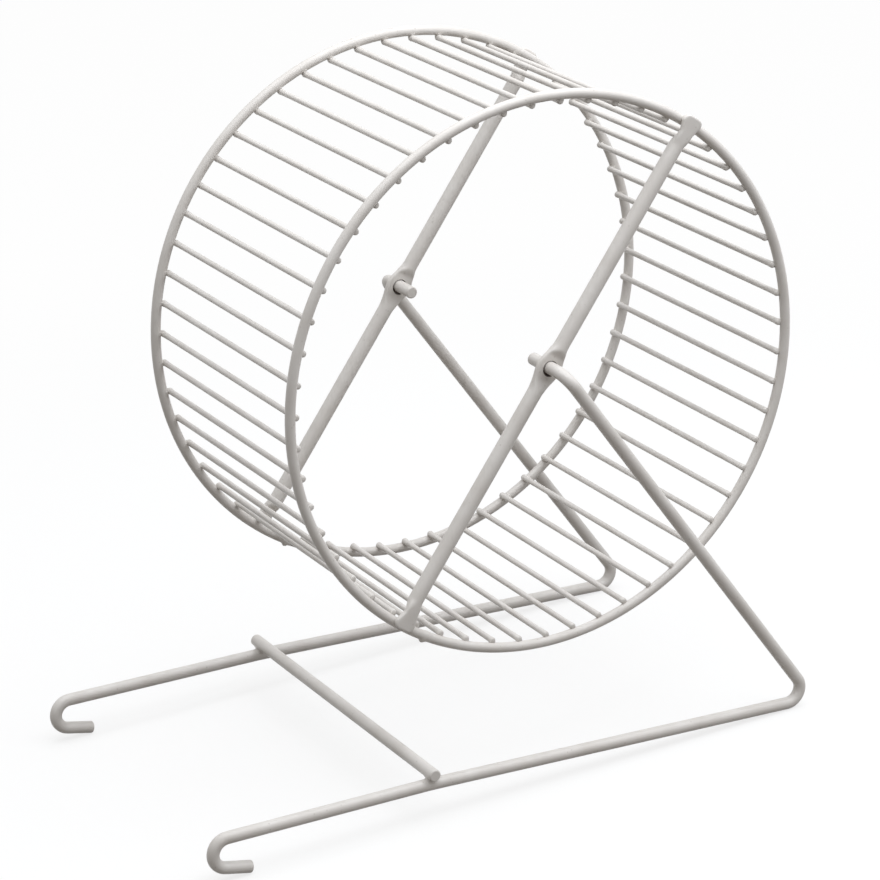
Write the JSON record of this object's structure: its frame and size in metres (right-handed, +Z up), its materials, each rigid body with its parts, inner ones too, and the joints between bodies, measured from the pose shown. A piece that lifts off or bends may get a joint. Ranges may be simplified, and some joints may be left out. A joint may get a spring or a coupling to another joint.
{
  "type": "rodent exercise wheel",
  "caption": "Welded wire running wheel for a small rodent, turning freely on the stub axles of a bent-wire stand whose base rails end in hooks.",
  "frame": {"origin": "on the ground, under the middle of the whole object's length and width", "axes": "+X along the base rails from the hooks to the feet, +Y along the axle from the front side to the rear, +Z up"},
  "size_m": [0.1718, 0.0952, 0.1713],
  "materials": {
    "coated_wire": "satin"
  },
  "bodies": {
    "stand": {"base_crossbar": "coated_wire", "front_side_wire": "coated_wire", "rear_side_wire": "coated_wire"},
    "wheel": {"front_hoop": "coated_wire", "front_spoke_bar": "coated_wire", "lower_bar_rungs": "coated_wire", "rear_hoop": "coated_wire", "rear_spoke_bar": "coated_wire", "rung_00": "coated_wire", "rung_02": "coated_wire", "rung_03": "coated_wire", "rung_04": "coated_wire", "rung_05": "coated_wire", "rung_06": "coated_wire", "rung_07": "coated_wire", "rung_08": "coated_wire", "rung_09": "coated_wire", "rung_10": "coated_wire", "rung_11": "coated_wire", "rung_12": "coated_wire", "rung_13": "coated_wire", "rung_14": "coated_wire", "rung_15": "coated_wire", "rung_16": "coated_wire", "rung_17": "coated_wire", "rung_18": "coated_wire", "rung_19": "coated_wire", "rung_20": "coated_wire", "rung_21": "coated_wire", "rung_22": "coated_wire", "rung_23": "coated_wire", "rung_24": "coated_wire", "rung_25": "coated_wire", "rung_26": "coated_wire", "rung_29": "coated_wire", "rung_30": "coated_wire", "rung_31": "coated_wire", "rung_32": "coated_wire", "rung_33": "coated_wire", "rung_34": "coated_wire", "rung_35": "coated_wire", "rung_36": "coated_wire", "rung_37": "coated_wire", "rung_38": "coated_wire", "rung_39": "coated_wire", "rung_40": "coated_wire", "rung_41": "coated_wire", "rung_42": "coated_wire", "rung_43": "coated_wire", "rung_44": "coated_wire", "rung_45": "coated_wire", "rung_46": "coated_wire", "rung_47": "coated_wire", "rung_48": "coated_wire", "rung_49": "coated_wire", "rung_50": "coated_wire", "rung_51": "coated_wire", "rung_52": "coated_wire", "rung_53": "coated_wire", "upper_bar_rungs": "coated_wire"}
  },
  "joints": [
    {"name": "wheel_spin", "type": "hinge", "parent": "stand", "child": "wheel", "pos_m": [0.01595, 0, 0.10373], "axis": [0, 1, 0], "continuous": true}
  ]
}
